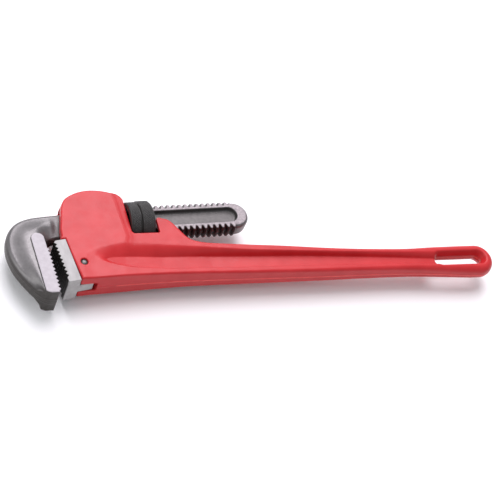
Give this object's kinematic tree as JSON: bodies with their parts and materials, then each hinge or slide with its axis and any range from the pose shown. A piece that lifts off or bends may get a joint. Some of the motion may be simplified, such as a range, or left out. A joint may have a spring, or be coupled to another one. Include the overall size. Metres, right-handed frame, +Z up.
{
  "type": "pipe wrench",
  "caption": "Heavy-duty straight pipe wrench with an adjustable hook jaw on a threaded shank, a knurled nut, a fixed heel jaw and an I-beam handle.",
  "frame": {"origin": "middle of the underside of the tool's box, the tool lying on its broad side", "axes": "+X along the shank towards the handle's end, +Y across the broad side towards the crown of the head, +Z up, the normal of the broad side"},
  "size_m": [0.4102, 0.0992, 0.0356],
  "materials": {
    "enamel": "gloss red enamel over cast iron",
    "ground_steel": "ground",
    "pin_steel": "satin",
    "forged_steel": "shot-blasted forging with ground teeth and rims",
    "black_steel": "black oxide, knurled",
    "spring_steel": "oiled spring steel"
  },
  "bodies": {
    "frame": {"handle_frame": "enamel", "heel_jaw": "ground_steel", "heel_jaw_pin": "pin_steel", "leaf_spring": "spring_steel", "spring_rivet": "pin_steel"},
    "float": {"coil_spring": "spring_steel"},
    "nut": {"adjusting_nut": "black_steel"},
    "hook": {"hook_jaw": "forged_steel"}
  },
  "joints": [
    {"name": "jaw_float", "type": "hinge", "parent": "frame", "child": "float", "pos_m": [-0.09845, 0.02275, 0.0178], "axis": [0, 0, 1], "range_deg": [0, 1.2], "stiffness_Nm_per_rad": 20},
    {"name": "nut_spin", "type": "hinge", "parent": "float", "child": "nut", "pos_m": [-0.09845, 0.02275, 0.0178], "axis": [1, 0, 0], "range_deg": [-324, 4629]},
    {"name": "jaw_slide", "type": "slide", "parent": "float", "child": "hook", "axis": [-1, 0, 0], "range_m": [-0.0044, 0.063]}
  ],
  "couplings": [
    {"joint": "nut_spin", "follows": "jaw_slide", "rad_per_m": 1282.3}
  ]
}
